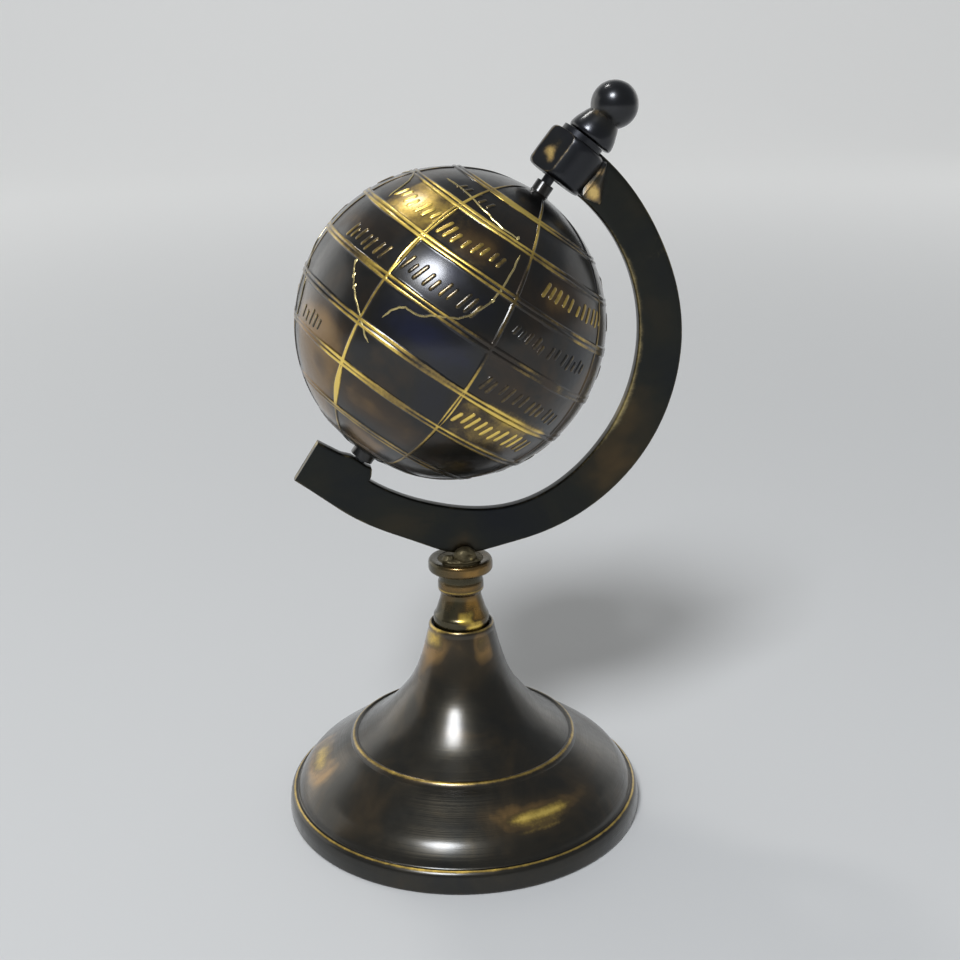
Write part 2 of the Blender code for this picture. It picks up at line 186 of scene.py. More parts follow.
# Panels of raised strokes: middle latitude, from longitude, to longitude, height of a stroke, extra wear.
STROKE_ROWS = (
    (33.6, -68, -45, 4.6, 0), (32.2, -37, -12, 4.8, 0.05), (12.6, -68, -44, 4.6, -0.02),
    (14.4, -38, -13, 4.8, -0.08), (33.6, 12, 46, 4.6, 0.12), (15, 7, 44, 4, -0.16),
    (-4.8, 8, 43, 4.4, -0.1), (-19.6, 8, 42, 4.8, 0.1), (-21.5, -72, -59, 4.4, -0.04),
    (51, -52, -34, 3, -0.05), (34, 73, 92, 4.6, 0), (15, 73, 90, 4.4, -0.1), (-20, 73, 90, 4.8, 0),
    (-38, 70, 86, 4, -0.05), (15, 120, 136, 4.6, 0), (-4, 112, 134, 4.4, -0.1), (33, 104, 134, 4.8, 0.1),
    (-38, 128, 156, 4.6, -0.1), (-20, 190, 224, 4.6, 0.05), (14, 188, 222, 4.8, 0),
    (33, 234, 262, 4.6, 0.1), (-4, 146, 178, 4.4, 0), (-38, 192, 222, 4.4, -0.1), (-20, 236, 262, 4.6, 0),
    (14, 238, 264, 4.4, 0.05), (-38, 234, 268, 4.4, -0.1),
)
STROKE_SEED = 11
NOISE_SEED = 1                   # of Blender's vector noise, which otherwise starts from the clock
STROKES_IN_GROUP = (2, 3)
STROKE_LENGTHS = (0.62, 1.0)           # as a part of the row's height
STROKE_SPACING = (1.75, 2.2)
GROUP_SPACING = (0.3, 1.0)
STROKE_HALF_WIDTHS = (0.54, 0.68)
STROKE_SHAPE = (0.2, 0.3)
STROKE_SLANT = 0.28
STROKE_RUN = np.array((0.0, 0.04, 0.12, 0.3, 0.5, 0.7, 0.88, 0.96, 1.0))
STROKE_RUBBING = 0.8
STROKE_DULLING = 0.06
ROW_WANDER = 1.2           # degrees that a row strays from its latitude

# -------- the stand's sizes and places
# In millimetres. Turned profiles run from the axis out and up, as (radius, height). A run goes on from the
# end of the run before it, with a crease between the two.

BASE_RUNS = (
    ((0, 0), (12, 0)), ((12, 1.2),), ((43, 1.2),), ((43, 0),), ((46.9, 0),),
    ((47.35, 0.4), (47.4, 1.6), (47.3, 3.4), (46.95, 4.9), (46.5, 5.6), (45.9, 6)),
    ((45.35, 5.9), (45.1, 6.1)),
    ((44.4, 7.7), (43.2, 9.5), (41.6, 11.3), (39, 13.3), (35.8, 15.6), (32.6, 17.9), (30.5, 19.2)),
    ((30.2, 19.9), (29.7, 20.5), (29.1, 20.7), (28.6, 20.4)),
    ((25.4, 22.6), (22.4, 24.9), (19.5, 27.8), (16.8, 31), (14.3, 34.4), (12.4, 38.1), (11, 42),
     (9.9, 45.8), (9.1, 49), (8.75, 50.4)),
    ((8.7, 51.3), (8.35, 51.95), (8, 52.05), (7.75, 51.7)),
    ((7.75, 50.4),), ((0, 50.4),),
)
SPOOL_RUNS = (
    ((0, 50.7), (7.3, 50.7)),
    ((7.35, 52.4), (7.38, 53.4), (7.22, 54.3), (6.8, 55), (6.4, 56), (6, 57.3), (5.6, 58.6),
     (5.35, 59.6), (5.28, 60.6)),
    ((5.5, 60.95), (5.85, 61.3), (6, 61.8)),
    ((5.98, 62.9), (5.95, 63.6), (5.75, 64.3), (5.78, 65.4), (5.95, 66.6)),
    ((8.1, 66.85),), ((8.35, 67.3), (8.4, 68.4), (8.32, 69.2), (7.95, 69.8), (7.3, 69.93)),
    ((5.95, 69.65),), ((5.9, 68.2),), ((0, 68.2),),
)
FINIAL_RUNS = (
    ((0, 46.3), (2.3, 46.3)), ((2.7, 46.7),), ((2.7, 55.3),), ((5.3, 55.3),),
    ((5.75, 55.5), (5.98, 56.1), (5.92, 56.9), (5.6, 58.1), (5.1, 59.4), (4.6, 60.6), (4.2, 61.4)),
)
BOSS_RUNS = (
    ((3, 42.7), (6.1, 42.7)), ((6.85, 42.9), (7.4, 43.5), (7.6, 44.3)), ((7.63, 48), (7.6, 52)),
    ((7.4, 52.9), (6.85, 53.4), (6.1, 53.6)), ((5.6, 53.6),), ((5.6, 55),), ((3, 55),), ((3, 42.7),),
)
PIN_RUNS = (((0, 34.4), (0.7, 34.4)), ((1.2, 34.7), (1.4, 35.1)), ((1.4, 43.6),), ((0, 43.6),))
SOLDER_RUNS = (((0, 68.5), (5.6, 68.5)), ((5.85, 69.2),), ((5.8, 69.6), (4.4, 69.9), (2.0, 70.2), (0, 70.3)))
BALL_HEIGHT = 65.4
BALL_RADIUS = 5.76
BASE_COLUMNS = 224
SPOOL_COLUMNS = 160
BOSS_COLUMNS = 128
FINIAL_COLUMNS = 96
SOLDER_COLUMNS = 96
LUMP_COLUMNS = 64
PIN_COLUMNS = 48
PER_SPAN = 6               # steps of a curve from one given point to the next
PIN_PER_SPAN = 4
HALF_TURN_POINTS = 33
BASE_WAVINESS = 0.03
WAVINESS = 0.02
WAVE_TWISTS = (0.21, 0.13)
PIN_FLATTENING = 0.7
ON_AXIS = 1e-6

# The arm, in its frame. Its edges are radii at stations, in degrees clockwise from its top.
ARM_STATIONS = (0, 30, 60, 90, 120, 150, 180)
ARM_OUTER = (54.3, 55.8, 59.2, 61.0, 60.2, 56.6, 54.1)
ARM_INNER = (43.0, 45.5, 47.8, 49.6, 50.3, 46.2, 43.6)
ARM_PER_SPAN = 12
ARM_FIRST = -3.0
ARM_STEP = 171.0           # where the inner edge steps in to the pad
PAD_STEP = ARM_STEP + 5.0
ARM_ROWS = 132
PAD_ROWS = 26
ARM_THICKNESS = 3.2
ARM_ROUNDING = 0.6
LEAST_ROUNDING = 0.05
CORNER_POINTS = 5
FLAT_POINTS = 9
PAD_END_STEP = 0.001
PAD_OUTER = ((-4.0, -54.3), (-8.4, -54.4))
PAD_INNER = ((6.9, -42.8), (5.6, -40.7), (4.2, -41.0), (-0.4, -41.1), (-3.0, -42.1), (-9.35, -42.9))
LUG_DEG = 141.0
LUG_SPREAD = 9.5
LUG_HEIGHT = 2.3
BOSS_OFFSET = -1.3
BOSS_FLAT_DISTANCE = 6.5
BOSS_FLAT_BEARING = 215.0
WEB_CORNERS = (
    (6.1, 5.2, 43.5), (7.4, 3.9, 49), (11, 2, 45.3), (12.1, 1.2, 44.8), (6.4, 3.2, 53.1), (6.6, 1.2, 53.9),
    (1, 0.8, 44), (1, 0.8, 52.5),
)
WEB_BEVEL = 0.18

# Lumps of solder as (centre, half sizes), and pits as (x, z, reach), in the part's frame
SOLDER_LUMPS = (((0.8, -3.2, 71.4), (3, 2.2, 2.4)), ((-3.4, -2.7, 70.3), (1.7, 1.35, 1.5)),
                ((0.2, -3.2, 70), (4.7, 2, 0.95)))
SOLDER_PITS = ((1.6, 71.5, 0.75),)
PIT_DEPTH = 0.8
PITTED_FRONT = -3.4        # pits sink only what lies in front of this
CRUMPLES = ((0.8, 0.22), (2.3, 0.1))   # how often in a millimetre, and how deep
CRUMPLE_START = 69.0
CRUMPLE_FADE = 1.2

# Worn and warm places, with painted highlights and painted shade among them. A ring is (radius, height,
# reach, strength). A streak is (radius, height, from bearing, to bearing, reach, strength), where bearing 0
# is the front. A spot is (x, y, z, reach, strength) in the piece's own frame.
BASE_RINGS = ((46.1, 5.95, 0.42, 0.74), (29.6, 20.5, 0.6, 0.6), (8.3, 51.9, 0.5, 0.5), (47.35, 0.4, 0.5, 0.2))
BASE_STREAKS = (
    (9.2, 49.2, -100, -40, 2.8, 0.74), (9.2, 49, 16, 44, 2.8, 0.36), (37, 14.8, 130, 170, 2.4, 0.5),
    (20, 27.3, 100, 135, 3, 0.25),
)
BASE_BRUSHED = ((38.6, 13.6, -109, -83, 3.4, 0.58),)
BASE_SCRATCHED = ((38.4, 13.7, 7, 36, 2.2, 0.82), (41.2, 11.7, 8, 30, 0.8, 0.45))
BASE_BRUSHED_WARMTH = ((38.8, 13.4, -116, -76, 4.8, 1.2),)
BASE_WARMTH = (
    (38.2, 13.9, 0, 46, 3.4, 1.05), (36, 15.6, -30, 20, 2.5, 0.3), (9.7, 47.4, -112, -36, 5, 1.25),
    (9.4, 48.5, -60, 30, 4, 0.6), (9.5, 48.2, 12, 48, 4.6, 1.1), (29.6, 20.5, -60, 10, 1.2, 0.4),
    (36, 15.5, 120, 200, 3, 0.7), (12, 40, -110, -60, 5, 0.4),
)
BRUSH_MARKS = (4, 20, 4)         # degrees wide, height, and the seed of their noise
SCRATCH_MARKS = (30, 0.7, 2)
BASE_TONE = -0.05
FOOT_TONE = -0.25
FOOT_TOP = 8.0
FOOT_FADE = 3.0

# Rings of wear; the ring round the neck's ridge, (6, 61.9, ...), is partly wear and partly a painted
# highlight line.
SPOOL_WEAR_AND_SHEEN_RINGS = ((7.4, 53.5, 0.8, 0.12), (6, 61.9, 0.4, 0.62), (8.2, 66.95, 0.4, 0.35), (8, 69.8, 0.4, 0.22))
SPOOL_STREAKS = (
    (7.36, 52.6, 0, 44, 0.8, 0.95), (7, 54.7, -16, 16, 0.9, 0.85), (7.2, 54, 10, 40, 0.7, 0.5),
    (6.4, 56.1, -18, 26, 1.1, 0.66), (5.9, 57.8, 4, 34, 0.9, 0.25), (5.95, 66.9, -60, 60, 0.4, 0.3),
    (8.38, 68.2, 20, 60, 0.9, 0.34),
)
SPOOL_WARMTH = (
    (6.8, 55.4, 0, 50, 2, 0.9), (5.8, 58.5, 2, 46, 2.2, 0.85), (8.3, 68, -10, 70, 1.4, 0.75),
    (8, 69.6, -40, 60, 1, 0.3), (6, 63.2, -60, 60, 1, 0.35),
)
# Painted shade: the neck is darkened in a band under the lip, where the lip shades it.
THROAT_HEIGHT = 65.2
THROAT_REACH = 1.1
THROAT_PAINTED_SHADE = -0.45

FINIAL_RINGS = ((5.9, 55.9, 0.5, 0.16), (4.3, 61.2, 1, 0.16))
FINIAL_SPOTS = ((-3.2, -2.8, 60.9, 1.3, 0.3),)
FINIAL_WARMTH = ((4.6, 60.3, 2.6, 0.6),)
FINIAL_TONE = -0.3

# Reach and strength of the wear on the arm's edges, and what the inner one has more of round its brightest
# stretch
OUTER_EDGE_WEAR = np.array((0.7, 0.56))
# The inner edge's pale line is partly wear and partly a painted highlight, where its rounded edge catches
# light.
INNER_EDGE_WEAR_AND_SHEEN = np.array((0.6, 0.46))
EXTRA_EDGE_WEAR_AND_SHEEN = np.array((0.5, 0.34))
EDGE_WEAR_DEPTH = 0.8
WORN_AND_SHEEN_EDGE_DEG = 62.0
WORN_AND_SHEEN_EDGE_SPREAD = 42.0
ARM_SPOTS = (
    (8, 0, 43.5, 3, 0.25), (48.5, -1.6, -23, 4, 0.14), (36, -1.6, -44.5, 3, 0.16),
    (-9.2, 0, -43.6, 1.6, 0.35), (-1.5, -1.6, -41.7, 0.9, 0.2), (6.4, 0, -41.6, 1.5, 0.45),
    (48, 1.6, 8, 7, 0.25), (30, 1.6, 42, 6, 0.2),
)
ARM_WARMTH = (
    (56, -1.6, -4, 7, 0.7), (57, -1.6, -11, 5, 0.6), (49, -1.6, 8, 5, 0.25), (40, -1.6, -32, 12, -0.65),
    (37, -1.6, -43.5, 5, 0.75), (54, -1.6, 24, 9, -0.5), (10, -1.6, -49, 12, -0.3), (50, 1.6, 8, 9, 0.8),
    (20, 1.6, -50, 8, 0.6),
)
ARM_TONE = -0.1

BOSS_SPOTS = (
    (-6.4, -3.9, 47.4, 1.6, 0.8), (-5.5, -4.6, 45.9, 1.2, 0.75), (-7.4, -2.9, 47.6, 1.3, 0.45),
    (-6.2, -4.1, 50.2, 1.4, 0.25), (-4.6, -3.4, 54.6, 1, 0.45), (6, -2.4, 50.5, 1.2, 0.3),
)
BOSS_WARMTH = ((-6.3, -3.9, 48, 3.5, 0.7),)
BOSS_TONE = -0.2
# A pale line round the filed flat's rim, partly wear and partly a painted highlight of its edges catching
# light.
FLAT_RIM_WEAR_AND_SHEEN = 0.42
FLAT_RIM_REACH = 0.22
WEB_SPOTS = (
    (7.3, -4.3, 45.9, 2.1, 1), (8.9, -3.1, 46, 1.7, 0.75), (6.6, -3.6, 51.2, 1.4, 0.6),
    (11.4, -1.6, 45, 1.2, 0.35), (8.2, 3.6, 46.4, 2.2, 0.4),
)
WEB_WARMTH = ((8.2, -3.4, 47, 4.5, 0.9),)
PIN_WEAR = 0.1
LUMP_WEAR = 0.05
SOLDER_SPOTS = ((2.2, -4.9, 71.0, 0.6, 0.6), (1.0, -4.6, 73.3, 1.2, 0.25), (-1.6, -4.6, 71.5, 0.8, 0.2))


# -------- meshes

def spline(points, per_span):
    """A smooth curve through the points: Catmull-Rom, with mirrored ends."""
    knots = np.array(points, float)
    if len(knots) == 2:
        return knots
    ends = 2 * knots[0] - knots[1], 2 * knots[-1] - knots[-2]
    padded = np.vstack((ends[0], knots, ends[1]))
    curve = []
    for p0, p1, p2, p3 in zip(padded, padded[1:], padded[2:], padded[3:]):
        for t in np.arange(per_span) / per_span:
            curve.append(0.5 * (2 * p1 + (p2 - p0) * t + (2 * p0 - 5 * p1 + 4 * p2 - p3) * t ** 2
                                + (3 * p1 - p0 - 3 * p2 + p3) * t ** 3))
    curve.append(knots[-1])
    return np.array(curve)


def joined_runs(runs, per_span=PER_SPAN):
    """One polyline from a profile's runs."""
    line = spline(runs[0], per_span)
    for run in runs[1:]:
        line = np.vstack((line, spline((line[-1], *run), per_span)[1:]))
    return line


def add_attribute(data, name, values):
    attribute = data.attributes.new(name, "FLOAT", "POINT")
    attribute.data.foreach_set("value", np.broadcast_to(values, len(data.vertices)).astype(np.float32))


def add_object(name, data):
    item = bpy.data.objects.new(name, data)
    bpy.context.scene.collection.objects.link(item)
    return item


def make_piece(name, points, faces, material, wear=0.0, tone=0.0, crease=30.0):
    """A smooth-shaded mesh from points in millimetres, with how rubbed and how warm each point is; in places
    the wear is a painted highlight and the tone a painted shade.
    """
    data = bpy.data.meshes.new(name)
    data.from_pydata((points * MM).tolist(), [], faces)
    data.validate()
    data.polygons.foreach_set("use_smooth", [True] * len(data.polygons))
    data.set_sharp_from_angle(angle=math.radians(crease))
    add_attribute(data, "wear", np.clip(wear, 0, 1))
    add_attribute(data, "tone", np.clip(tone, -1, 1))
    data.materials.append(material)
    return add_object(name, data)


def numbered(rings):
    """The point numbers of each ring, where the rings' points follow one another."""
    stops = np.cumsum([len(ring) for ring in rings]).tolist()
    return [list(range(stop - len(ring), stop)) for ring, stop in zip(rings, stops)]


def lofted(rows):
    """Faces between closed rows of point numbers, or a fan where a row is a single point."""
    faces = []
    for low, high in zip(rows, rows[1:]):
        for i in range(max(len(low), len(high))):
            j = i + 1
            quad = (low[i % len(low)], low[j % len(low)], high[j % len(high)], high[i % len(high)])
            faces.append(tuple(dict.fromkeys(quad)))
    return faces


def even_turns(count):
    return np.arange(count) * 2 * math.pi / count


def stacked(*coordinates):
    """Points from arrays of their coordinates, or from one number for all of them."""
    return np.stack(np.broadcast_arrays(*coordinates), axis=-1)


def falloff(distance, reach, power=2):
    return np.exp(-(distance / reach) ** power)


def degrees_from(middle, values):
    """Signed degrees the short way round."""
    return (values - middle + 180) % 360 - 180


def turned(profile, columns, waviness=0.0):
    """Points (x, y, z) and faces of a surface of revolution about z; a point on the axis is shared."""
    turns = even_turns(columns)
    rings = []
    for radius, height in profile:
        if radius < ON_AXIS:
            rings.append(np.array(((0.0, 0.0, height),)))
            continue
        wave = np.sin(3 * turns + height * WAVE_TWISTS[0]) * np.sin(turns + height * WAVE_TWISTS[1]) - 1
        out = radius + waviness * wave
        rings.append(stacked(out * np.cos(turns), out * np.sin(turns), height))
    return np.vstack(rings), lofted(numbered(rings))


def on_axis(points, axes):
    """From a leaning frame (across, back, along) to the part's frame."""
    return CENTRE + points @ axes


def bearings(points):
    """Degrees round z, from the front towards +X."""
    return np.degrees(np.arctan2(points[:, 0], -points[:, 1]))


def near(points, spots):
    """How strongly spots act on each point."""
    return sum(strength * falloff(np.linalg.norm(points - place, axis=1), reach)
               for *place, reach, strength in spots)


def near_rings(points, rings):
    """How strongly rings act on each point."""
    return near(stacked(np.hypot(points[:, 0], points[:, 1]), points[:, 2]), rings)


def near_streaks(points, streaks):
    """How strongly streaks act on each point."""
    return sum(near_rings(points, ((radius, height, reach, strength),))
               * falloff(degrees_from((start + stop) / 2, bearings(points)), (stop - start) / 2, 4)
               for radius, height, start, stop, reach, strength in streaks)


# -------- materials

# Sizes of the noise in the finish, as scales per millimetre
CLOUD_SCALE = 0.055
MOTTLE_SCALE = 0.32
SPECK_SCALE = 1.6
DENT_SCALE = 0.16
GRAIN_SCALE = 2.4
TURNING_SCALE = 2.2

TONE_STRENGTH = 0.42
MOTTLE_RANGE = (0.3, 0.7)              # over which the mottling makes the finish rougher
COVER_RANGE = (0.12, 0.5)              # over which wear bares the metal
DENT_BUMP = 1.0 * MM
FINE_BUMP = 0.1 * MM
METALLIC = 0.92

PATINA_STEPS = (0.08, 0.30, 0.50, 0.70, 0.92)
METAL_STEPS = (0.15, 0.34, 0.52, 0.72, 0.95)

# Colours at those steps, in thousandths
GOLD = ((26, 21, 12), (115, 78, 26), (290, 195, 48), (600, 410, 78), (980, 710, 150))
PALE_GOLD = ((28, 25, 17), (110, 90, 45), (270, 215, 100), (540, 430, 180), (860, 700, 300))
TAN_GOLD = ((26, 22, 14), (100, 74, 36), (270, 185, 85), (600, 400, 130), (940, 670, 230))
BLACK_BROWN = ((14, 17, 44), (14, 15, 22), (16, 15, 13), (52, 31, 14), (200, 115, 36))
BASE_TONES = ((9, 10, 12), (15, 14.5, 11), (26, 21.5, 13), (60, 41, 19), (300, 175, 55))
SPOOL_TONES = ((34, 24, 11), (44, 38, 19), (68, 57, 28), (150, 92, 30), (400, 220, 50))
ARM_TONES = ((6, 8, 11), (9, 11, 11), (14, 15, 11), (30, 24, 13), (72, 46, 18))
BOSS_TONES = ((10, 11, 18), (12, 13, 18), (16, 17, 19), (28, 26, 20), (70, 52, 22))
SOLDER_TONES = ((85, 73, 45), (105, 91, 55), (130, 110, 64), (155, 122, 66), (180, 130, 62))


def set_inputs(tree, node, inputs):
    """Links the inputs that are given as another node's output, and sets the rest."""
    for key, value in inputs.items():
        if isinstance(value, bpy.types.NodeSocket):
            tree.links.new(value, node.inputs[key])
        else:
            node.inputs[key].default_value = value


def add_node(tree, kind, inputs=None, **settings):
    node = tree.nodes.new(kind)
    for key, value in settings.items():
        setattr(node, key, value)
    set_inputs(tree, node, inputs or {})
    return node


def add_material(name):
    material = bpy.data.materials.new(name)
    material.use_nodes = True
    return material, material.node_tree, material.node_tree.nodes["Principled BSDF"]


def add_ramp(tree, factor, steps, colours):
    ramp = add_node(tree, "ShaderNodeValToRGB", {"Fac": factor})
    elements = ramp.color_ramp.elements
    while len(elements) < len(steps):
        elements.new(0.5)
    for element, position, colour in zip(elements, steps, colours):
        element.position = position
        element.color = (*(part / 1000 for part in colour), 1.0)
    return ramp.outputs["Color"]


def add_noise(tree, vector, scale, detail, roughness=0.55, distortion=0.0):
    node = add_node(tree, "ShaderNodeTexNoise", {"Vector": vector, "Scale": scale, "Detail": detail,
                                                 "Roughness": roughness, "Distortion": distortion})
    return node.outputs["Fac"]


def add_math(tree, operation, *values):
    return add_node(tree, "ShaderNodeMath", dict(enumerate(values)), operation=operation).outputs[0]


def add_range(tree, value, source, target=(0.0, 1.0), **settings):
    node = add_node(tree, "ShaderNodeMapRange", {"Value": value, "From Min": source[0], "From Max": source[1],
                                                 "To Min": target[0], "To Max": target[1]}, **settings)
    return node.outputs["Result"]


def add_bump(tree, height, strength, distance, **under):
    inputs = {"Height": height, "Strength": strength, "Distance": distance, **under}
    return add_node(tree, "ShaderNodeBump", inputs).outputs["Normal"]


def worn_colour(tree, place, mottle, patina, metal, mottling, clouding):
    """Dark patina, rubbed through to metal where the wear attribute and the mottling say; in places the wear
    paints a highlight.
    """
    cloud = add_noise(tree, place, CLOUD_SCALE, 3.0, 0.6, 0.6)
    specks = add_noise(tree, place, SPECK_SCALE, 4.0, 0.6)
    tone = add_node(tree, "ShaderNodeAttribute", attribute_name="tone").outputs["Fac"]
    drift = add_math(tree, "MULTIPLY_ADD", cloud, clouding, 0.5 - clouding / 2)
    shade = add_math(tree, "MULTIPLY_ADD", tone, TONE_STRENGTH, drift)
    wear = add_node(tree, "ShaderNodeAttribute", attribute_name="wear").outputs["Fac"]
    broken = add_math(tree, "MULTIPLY_ADD", mottle, mottling, wear)
    broken = add_math(tree, "MULTIPLY_ADD", specks, mottling * 0.5, broken)
    amount = add_math(tree, "ADD", broken, -mottling * 0.75)
    colours = {"Factor": add_range(tree, amount, COVER_RANGE, interpolation_type="SMOOTHSTEP"),
               "A": add_ramp(tree, shade, PATINA_STEPS, patina),
               "B": add_ramp(tree, amount, METAL_STEPS, metal)}
    return add_node(tree, "ShaderNodeMix", colours, data_type="RGBA").outputs["Result"]


def turning_marks(tree, place):
    """Noise that runs round z, as a lathe tool's marks do."""
    split = add_node(tree, "ShaderNodeSeparateXYZ", {"Vector": place})
    x_squared = add_math(tree, "MULTIPLY", split.outputs["X"], split.outputs["X"])
    squared = add_math(tree, "MULTIPLY_ADD", split.outputs["Y"], split.outputs["Y"], x_squared)
    radius = add_math(tree, "SQRT", squared)
    rings = add_node(tree, "ShaderNodeCombineXYZ", {"X": radius, "Z": split.outputs["Z"]})
    return add_noise(tree, rings.outputs["Vector"], TURNING_SCALE, 2.0, 0.7)


def brass(name, patina, metal, roughness, coat, coat_roughness=0.1, mottling=0.5, clouding=0.7, dents=0.12,
          grain=0.12, turned_marks=0.0):
    """Worn brass under a clear coat, with shallow dents, a fine grain and, if asked, a lathe's marks."""
    material, tree, shader = add_material(name)
    coordinates = add_node(tree, "ShaderNodeTexCoord").outputs["Object"]
    mapping = add_node(tree, "ShaderNodeMapping", {"Vector": coordinates, "Scale": (1 / MM,) * 3})
    place = mapping.outputs["Vector"]
    mottle = add_noise(tree, place, MOTTLE_SCALE, 5.0, 0.62)
    normal = add_bump(tree, add_noise(tree, place, DENT_SCALE, 2.0), dents, DENT_BUMP)
    normal = add_bump(tree, add_noise(tree, place, GRAIN_SCALE, 3.0, 0.6), grain, FINE_BUMP, Normal=normal)
    if turned_marks:
        normal = add_bump(tree, turning_marks(tree, place), turned_marks, FINE_BUMP, Normal=normal)
    set_inputs(tree, shader, {
        "Base Color": worn_colour(tree, place, mottle, patina, metal, mottling, clouding),
        "Roughness": add_range(tree, mottle, MOTTLE_RANGE, roughness), "Normal": normal, "Metallic": METALLIC,
        "Coat Weight": coat, "Coat Roughness": coat_roughness})
    return material


# -------- globe

def globe_direction(latitude, longitude):
    """Unit vectors in the axis frame (across, back, along), from degrees."""
    lat, lon = np.radians(latitude), np.radians(longitude)
    return stacked(np.cos(lat) * np.sin(lon), -np.cos(lat) * np.cos(lon), np.sin(lat))


def spread(directions, places):
    """Sum of round patches on the globe, given as (latitude, longitude, reach, strength)."""
    total = 0
    for latitude, longitude, reach, strength in places:
        away = np.degrees(np.arccos(np.clip(directions @ globe_direction(latitude, longitude), -1, 1)))
        total += strength * falloff(away, reach)
    return total


def fill_panels(directions, panels, edge):
    """Sum of filled panels on the globe, given as (low, high, west, east, strength), with soft edges."""
    latitude = np.degrees(np.arcsin(np.clip(directions[:, 2], -1, 1)))
    longitude = bearings(directions)
    total = 0
    for low, high, west, east, strength in panels:
        from_middle = np.abs(degrees_from((west + east) / 2, longitude))
        across = np.clip(((east - west) / 2 - from_middle) / edge, 0, 1)
        up = np.clip((latitude - low) / edge, 0, 1) * np.clip((high - latitude) / edge, 0, 1)
        total += strength * across * up
    return total


def unit(points):
    return points / np.linalg.norm(points, axis=1)[:, None]


def noise_at(points, size, seed):
    """Smooth noise between -1 and 1 at each point; size is in the points' own units."""
    return np.array([noise.noise(Vector(point) / size + Vector((seed, 0, 0))) for point in points])


def varied(points, middle, variation, size, seed):
    return middle + variation * noise_at(points, size, seed)


def from_nearest(values, lines):
    """Signed degrees from each value to the nearest line."""
    away = degrees_from(lines, values[:, None])
    return away[np.arange(len(values)), np.argmin(np.abs(away), axis=1)]


def grid_degrees(lines, low, high, step):
    """Mesh positions in degrees: close together across each cast line, evenly spaced between."""
    fine = np.array([line + offset / MM_PER_DEGREE for line in lines for offset in LINE_OFFSETS])
    fine = (fine - low) % 360 + low
    even = np.arange(low, high, step)
    clear = np.abs(from_nearest(even, lines)) > LINE_OFFSETS[-1] / MM_PER_DEGREE + 0.4 * step
    return np.sort(np.concatenate((fine, even[clear])))


def across_line(distance, half_width, groove):
    """Height across a cast line, as a part of its full height: a soft band, parted by a groove."""
    body = np.clip((half_width - np.abs(distance)) / LINE_SHOULDER + 0.5, 0, 1)
    body = body * body * (3 - 2 * body)
    return body * (1 - groove * falloff(distance, GROOVE_WIDTH))


def net_heights(latitudes, longitudes, directions):
    """Height of the net of cast lines at each point of the ball, as a part of a line's full height."""
    widening = varied(directions, *LINE_WIDENING)
    groove = np.clip(varied(directions, *GROOVE_DEPTH), 0, DEEPEST_GROOVE)
    from_parallel = from_nearest(latitudes, PARALLELS) * MM_PER_DEGREE
    parallel = across_line(from_parallel, PARALLEL_HALF_WIDTH + PARALLEL_VARIATION * widening, groove)
    swell = spread(directions, MERIDIAN_SWELLS)
    half_width = MERIDIAN_HALF_WIDTH + MERIDIAN_VARIATION * widening + swell
    narrowing = np.sqrt(np.cos(np.radians(latitudes)))
    from_meridian = from_nearest(longitudes, MERIDIANS) * MM_PER_DEGREE * narrowing
    meridian = across_line(from_meridian, half_width, groove * (swell > GROOVED_SWELL))
    fade = np.clip((MERIDIAN_END - np.abs(latitudes)) / MERIDIAN_FADE, 0, 1)
    return np.maximum(parallel, meridian * fade)


def ball_shell():
    """Rings of the ball's points between its hubs, the net's height at each, and the first longitude."""
    south, north = (math.degrees(math.atan2(hub[-1][1], hub[-1][0])) for hub in (SOUTH_HUB, NORTH_HUB))
    latitudes = grid_degrees(PARALLELS, -90, 90, LATITUDE_STEP)
    latitudes = latitudes[(latitudes > south + HUB_GAP) & (latitudes < north - HUB_GAP)]
    longitudes = grid_degrees(MERIDIANS, -180, 180, LONGITUDE_STEP)
    slants = np.interp(longitudes, MERIDIANS, MERIDIAN_SLANTS, period=360)
    all_latitudes = np.repeat(latitudes, len(longitudes))
    all_longitudes = np.tile(longitudes, len(latitudes))
    rise = np.tan(np.radians(np.clip(all_latitudes, -SLANT_LIMIT, SLANT_LIMIT)))
    directions = globe_direction(all_latitudes, all_longitudes - np.tile(slants, len(latitudes)) * rise)
    net = net_heights(all_latitudes, all_longitudes, directions)
    heights = SKIN_RADIUS + net * LINE_HEIGHT + varied(directions, *DENTS)
    ball = directions * heights[:, None]
    return list(ball.reshape(len(latitudes), len(longitudes), 3)), net, longitudes[0]


def hub_rings(profile, turns):
    """Rings of points round the spin axis; a ring on the axis is a single point."""
    rings = []
    for radius, height in profile:
        turn = turns if radius else turns[:1]
        rings.append(stacked(radius * np.sin(turn), -radius * np.cos(turn), height))
    return rings


def ball_wear(directions, net):
    """How rubbed the ball is at each point: its cast lines, and what lies between them."""
    ridge = net ** LINE_WEAR_SHARPNESS
    lines = (varied(directions, *LINE_WEAR) + spread(directions, RUBBED_LINES)) * ridge
    panels = fill_panels(directions, RUBBED_PANELS, PANEL_EDGE) * varied(directions, *PANEL_WEAR)
    return lines + (spread(directions, RUBBED) + panels) * (0.8 + 0.2 * net)


def build_globe(material):
    """The ball with its net of cast lines, and a hub with a socket at each pole."""
    ball, net, first_longitude = ball_shell()
    turns = math.radians(first_longitude) + even_turns(len(ball[0]))
    south = hub_rings(SOUTH_HUB, turns)
    north = hub_rings(NORTH_HUB, turns)[::-1]
    net = np.pad(net, (sum(map(len, south)), sum(map(len, north))))
    rings = south + ball + north
    points = np.vstack(rings)
    directions = unit(points)
    tone = fill_panels(directions, TONE_PANELS, TONE_EDGE) * varied(directions, *PANEL_TONE)
    return make_piece("globe_ball", on_axis(points, SPIN_AXES), lofted(numbered(rings)), material,
                      ball_wear(directions, net), tone)


